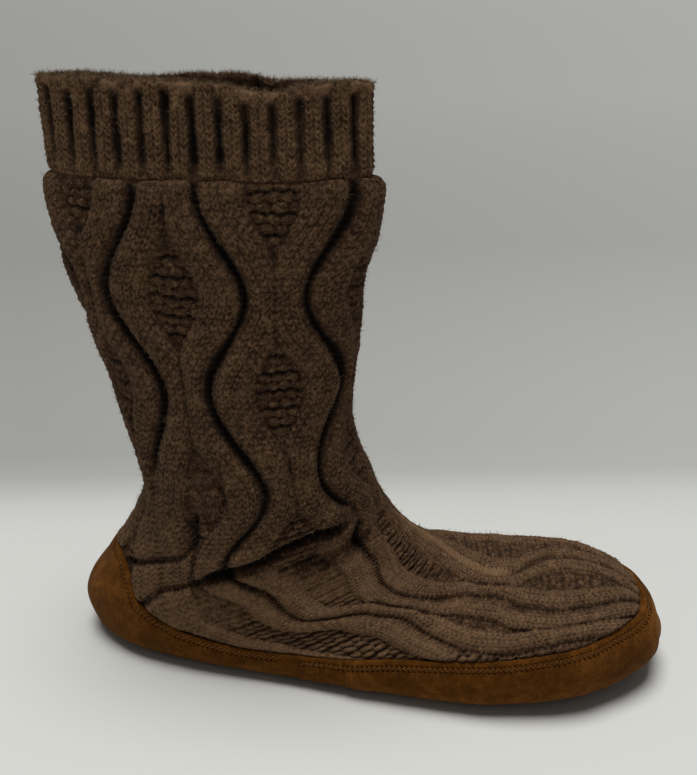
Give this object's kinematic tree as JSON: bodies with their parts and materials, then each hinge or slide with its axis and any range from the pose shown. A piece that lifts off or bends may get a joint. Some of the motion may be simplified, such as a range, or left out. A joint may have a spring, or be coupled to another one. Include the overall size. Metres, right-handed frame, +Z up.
{
  "type": "mukluk slipper boot",
  "caption": "Slouching sock boot for the right foot: cable-knit wool leg and foot, ribbed cuff inside a rolled edge, and a suede cup sole that wraps up at heel and toe.",
  "frame": {"origin": "middle of the boot's floor area, on the tread plane", "axes": "+X to the toe, +Z up, the outer side of the right foot on -Y"},
  "size_m": [0.2778, 0.0988, 0.263],
  "materials": {
    "wool_knit": "brushed heathered wool, cable knit",
    "wool_rib": "brushed heathered wool, ribbed",
    "suede": "soft nap suede",
    "footbed": "brushed fleece"
  },
  "bodies": {
    "root": {"upper_knit": "wool_knit", "cuff_rib": "wool_rib", "sole_forefoot": "suede", "sole_heel": "suede", "insole": "footbed"}
  },
  "joints": []
}
